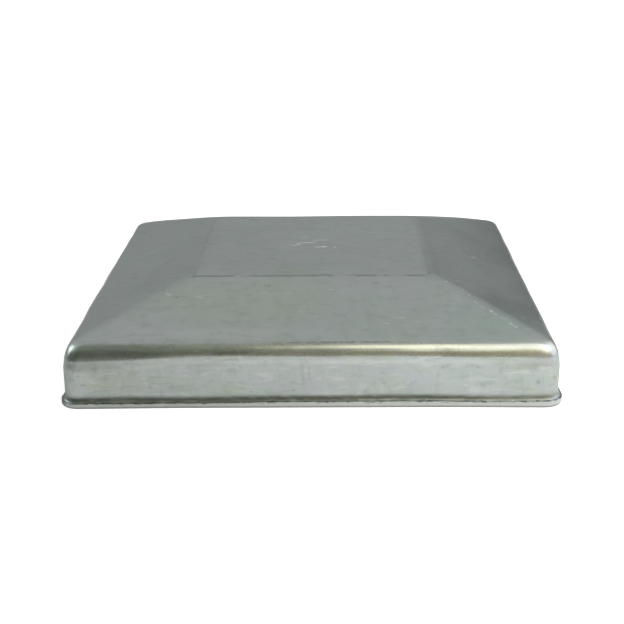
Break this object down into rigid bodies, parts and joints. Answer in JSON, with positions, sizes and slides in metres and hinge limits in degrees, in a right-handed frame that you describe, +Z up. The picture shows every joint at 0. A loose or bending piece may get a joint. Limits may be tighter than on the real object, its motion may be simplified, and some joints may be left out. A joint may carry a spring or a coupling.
{
  "type": "square post cap",
  "caption": "Square steel post cap: a shallow hipped crown with a flat top, a rounded eave and a short skirt that ends in a small trimmed lip.",
  "frame": {"origin": "middle of the open mouth, in the plane that the trimmed rim rests on", "axes": "+Z up through the flat top, opposite to the way the post goes in; -X, +X, -Y and +Y out of the four like sides"},
  "size_m": [0.105, 0.105, 0.021],
  "materials": {
    "pressed_steel": "bare cold-rolled sheet, satin, with draw marks and light scuffs"
  },
  "bodies": {
    "root": {"cap_shell": "pressed_steel"}
  },
  "joints": []
}
